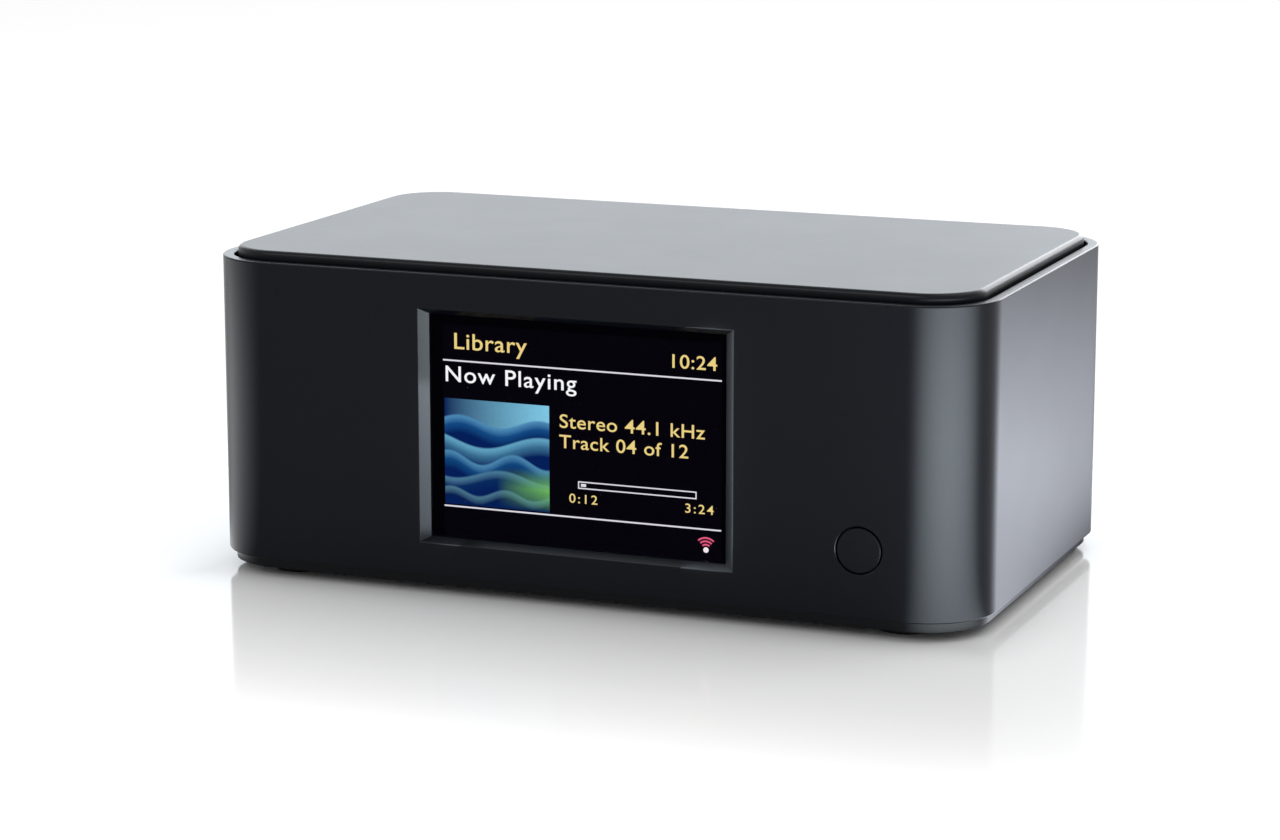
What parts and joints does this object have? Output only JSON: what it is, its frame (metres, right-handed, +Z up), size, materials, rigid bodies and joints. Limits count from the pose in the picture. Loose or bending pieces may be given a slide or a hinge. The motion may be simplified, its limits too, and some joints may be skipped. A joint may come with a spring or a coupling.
{
  "type": "network music streamer",
  "caption": "Low rounded black aluminium audio box with an inset top cover, a bevelled window over a colour screen, a flush push button and a recessed rear connector bay.",
  "frame": {"origin": "under the middle of the case, on the surface that the feet stand on", "axes": "+Z up, +X to the right seen from the front, the front faces -Y"},
  "size_m": [0.16, 0.095, 0.065],
  "materials": {
    "anodised_black": "black anodised, fine satin blast",
    "cover_black": "satin black lacquer",
    "base_black": "fine moulded texture",
    "rubber_black": "matte",
    "screw_steel": "zinc plated",
    "screw_black": "black oxide",
    "lens_clear": "polished",
    "gasket_foam": "matte foam",
    "lcd_glass": "dark glossy screen",
    "backlight_white": "moulded",
    "bracket_grey": "moulded",
    "ribbon_amber": "flexible film",
    "ribbon_white": "flexible film",
    "connector_ivory": "moulded",
    "button_black": "black anodised, fine satin",
    "spring_steel": "bright wire",
    "board_green": "solder mask",
    "chip_black": "moulded epoxy",
    "plunger_grey": "moulded",
    "capacitor_can": "bright can",
    "coil_grey": "ferrite",
    "shield_steel": "tinned",
    "antenna_board": "printed strip",
    "lead_black": "matte",
    "contact_gold": "gold flash",
    "panel_black": "fine moulded texture",
    "socket_black": "moulded",
    "barrel_metal": "gold plated",
    "insulator_white": "moulded",
    "insulator_red": "moulded",
    "insulator_orange": "moulded",
    "shutter_grey": "moulded",
    "emitter_red": "clear red",
    "pin_steel": "nickel plated"
  },
  "bodies": {
    "case": {"sleeve": "anodised_black", "top_cover": "cover_black", "base_plate": "base_black", "rubber_feet": "rubber_black", "base_screws": "screw_steel", "display_lens": "lens_clear", "lens_gasket": "gasket_foam", "lcd_panel": "lcd_glass", "lcd_backlight": "backlight_white", "front_bracket": "bracket_grey", "bracket_screws": "screw_steel", "display_ribbon": "ribbon_amber", "ribbon_connector": "connector_ivory", "button_spring": "spring_steel", "button_board": "board_green", "button_board_screws": "screw_steel", "switch_body": "chip_black", "button_ribbon": "ribbon_white", "button_connector": "connector_ivory", "main_board": "board_green", "board_screws": "screw_steel", "processor": "chip_black", "memory_chips": "chip_black", "dac_chip": "chip_black", "output_capacitors": "capacitor_can", "supply_coil": "coil_grey", "wifi_module": "board_green", "wifi_shield": "shield_steel", "antenna_left": "antenna_board", "antenna_right": "antenna_board", "antenna_lead_left": "lead_black", "antenna_lead_right": "lead_black", "antenna_plugs": "contact_gold", "rear_panel": "panel_black", "rear_panel_screws": "screw_black", "audio_housing": "socket_black", "audio_barrel_left": "barrel_metal", "audio_barrel_right": "barrel_metal", "audio_insulator_left": "insulator_white", "audio_insulator_right": "insulator_red", "coax_housing": "socket_black", "coax_barrel": "barrel_metal", "coax_insulator": "insulator_orange", "optical_housing": "socket_black", "optical_emitter": "emitter_red", "ethernet_jack": "socket_black", "ethernet_contacts": "contact_gold", "dc_housing": "socket_black", "dc_pin": "pin_steel"},
    "power_button": {"power_button": "button_black", "switch_plunger": "plunger_grey"},
    "optical_shutter": {"optical_shutter": "shutter_grey"}
  },
  "joints": [
    {"name": "power_button_press", "type": "slide", "parent": "case", "child": "power_button", "axis": [0, 1, 0], "range_m": [0, 0.0006], "stiffness_N_per_m": 1000, "springref_m": -0.0005, "deforming": ["button_spring"]},
    {"name": "optical_shutter_swing", "type": "hinge", "parent": "case", "child": "optical_shutter", "pos_m": [0.008, 0.0383, 0.0197], "axis": [-1, 0, 0], "range_deg": [0, 85], "stiffness_Nm_per_rad": 0.0005, "springref_deg": -11.46}
  ]
}
